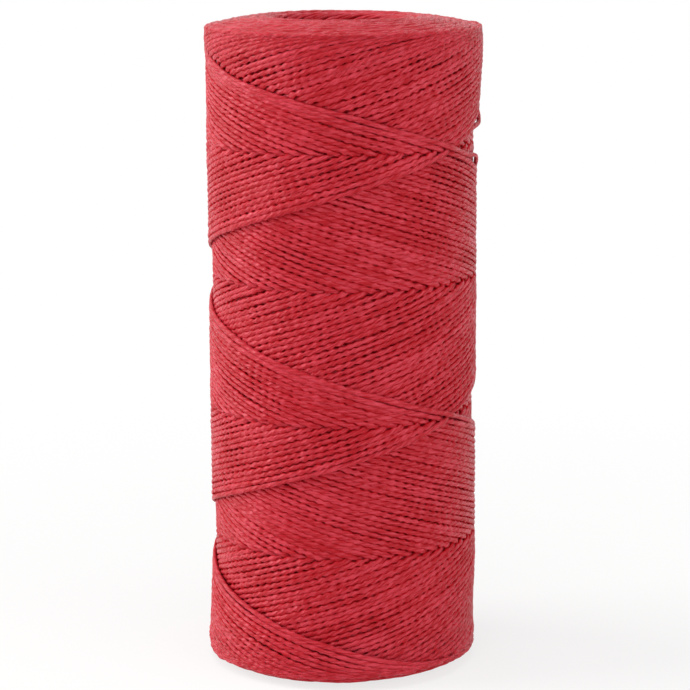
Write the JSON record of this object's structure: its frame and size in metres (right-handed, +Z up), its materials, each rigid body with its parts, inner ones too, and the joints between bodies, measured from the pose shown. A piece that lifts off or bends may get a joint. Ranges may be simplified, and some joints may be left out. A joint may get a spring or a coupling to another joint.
{
  "type": "string reel",
  "caption": "Tall free-standing reel of waxed string, cross-wound in rising and falling bands on a hidden paperboard tube with an open bore.",
  "frame": {"origin": "centre of the bottom rim, on the surface that the reel stands on", "axes": "+Z up along the tube's axis, front of the reel towards -Y"},
  "size_m": [0.0526, 0.0526, 0.126],
  "materials": {
    "string": "waxed low-twist polyester string, satin",
    "paperboard": "spiral-wound kraft paperboard, matte"
  },
  "bodies": {
    "root": {"core_tube": "paperboard", "inner_winding": "string", "outer_winding": "string"}
  },
  "joints": []
}
